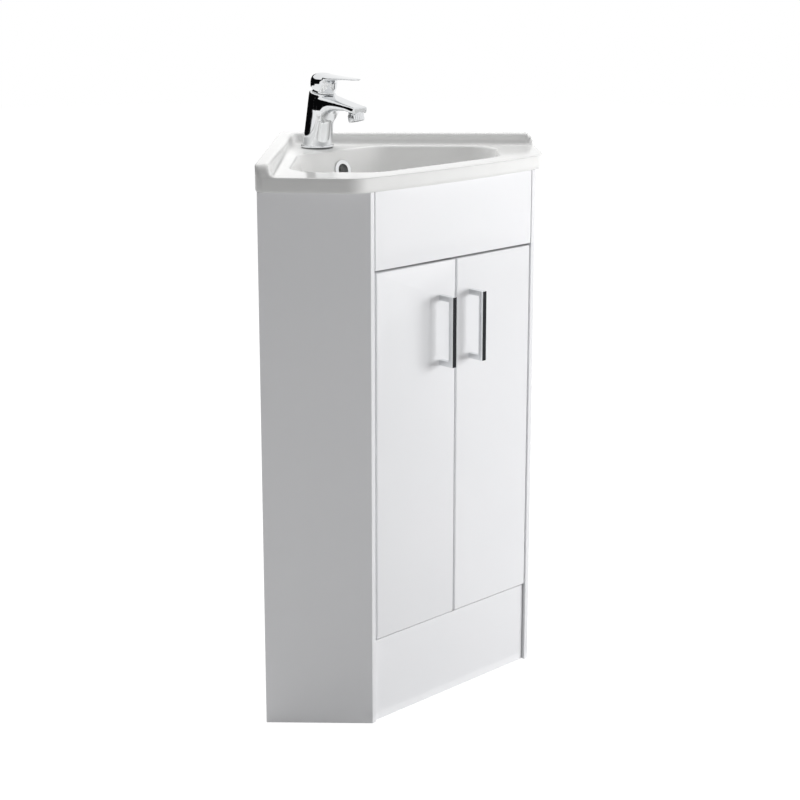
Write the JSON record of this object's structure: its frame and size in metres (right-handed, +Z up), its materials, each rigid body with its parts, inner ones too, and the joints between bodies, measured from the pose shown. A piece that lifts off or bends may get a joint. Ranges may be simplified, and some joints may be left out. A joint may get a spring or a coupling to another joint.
{
  "type": "corner bathroom vanity unit",
  "caption": "Five-sided floor cupboard for a room corner, with double doors, a ceramic basin on top and a single-lever mixer tap.",
  "frame": {"origin": "middle of the bounding box on the floor plane", "axes": "+X to the right along the front, +Y back towards the room corner, +Z up; the doors face -Y"},
  "size_m": [0.5572, 0.4162, 0.9219],
  "materials": {
    "board": "white high-gloss foil on fibreboard",
    "softwood": "planed softwood",
    "ceramic": "white glaze, fired",
    "chrome": "polished chrome plate",
    "brass": "machined brass",
    "plated_steel": "bright zinc or nickel plate on steel",
    "zinc": "die-cast zinc, as cast",
    "white_plastic": "moulded, satin",
    "clear_plastic": "soft clear moulding",
    "grey_plastic": "moulded, gloss",
    "rubber": "moulded, matt"
  },
  "bodies": {
    "cabinet": {"left_side_panel": "board", "right_side_panel": "board", "left_back_panel": "board", "right_back_panel": "board", "base_panel": "board", "rear_stretcher": "board", "plinth": "board", "fascia": "board", "plinth_battens": "softwood", "fascia_battens": "softwood", "batten_screws": "plated_steel", "cam_locks": "zinc", "cam_bolts": "plated_steel", "shelf": "board", "shelf_pegs": "plated_steel", "hinge_arms": "plated_steel", "hinge_plates": "plated_steel", "plate_screws": "plated_steel", "door_buffers": "clear_plastic", "basin": "ceramic", "overflow_ring": "chrome", "waste_body": "chrome", "waste_seals": "rubber", "waste_nut": "white_plastic", "tap_body": "chrome", "tap_gasket": "rubber", "tap_cartridge": "white_plastic", "cartridge_nut": "brass", "aerator_housing": "chrome", "aerator_insert": "white_plastic", "tap_stud": "brass", "stud_plate": "brass", "stud_nut": "brass"},
    "left_door": {"left_door": "board", "left_handle": "chrome", "left_handle_screws": "plated_steel", "left_hinge_cups": "plated_steel", "left_cup_screws": "plated_steel"},
    "right_door": {"right_door": "board", "right_handle": "chrome", "right_handle_screws": "plated_steel", "right_hinge_cups": "plated_steel", "right_cup_screws": "plated_steel"},
    "tap_spindle": {"spindle_carrier": "white_plastic", "lever_pin": "plated_steel"},
    "tap_lever": {"lever_stem": "brass", "lever_handle": "chrome", "lever_screw": "plated_steel", "index_button": "grey_plastic"},
    "waste_plug": {"waste_plug": "chrome", "plug_seal": "rubber"}
  },
  "joints": [
    {"name": "left_door_hinge", "type": "hinge", "parent": "cabinet", "child": "left_door", "pos_m": [-0.15979, -0.18009, 0.4], "axis": [0, 0, -1], "range_deg": [0, 100]},
    {"name": "right_door_hinge", "type": "hinge", "parent": "cabinet", "child": "right_door", "pos_m": [0.15979, -0.18009, 0.4], "axis": [0, 0, 1], "range_deg": [0, 100]},
    {"name": "lever_swivel", "type": "hinge", "parent": "cabinet", "child": "tap_spindle", "pos_m": [0, 0.10697, 0.90153], "axis": [0, -0.1736, 0.9848], "range_deg": [-45, 45]},
    {"name": "lever_lift", "type": "hinge", "parent": "tap_spindle", "child": "tap_lever", "pos_m": [0, 0.10697, 0.90153], "axis": [-1, 0, 0], "range_deg": [0, 18]},
    {"name": "waste_plug_lift", "type": "slide", "parent": "cabinet", "child": "waste_plug", "axis": [0, 0, 1], "range_m": [0, 0.007]}
  ]
}
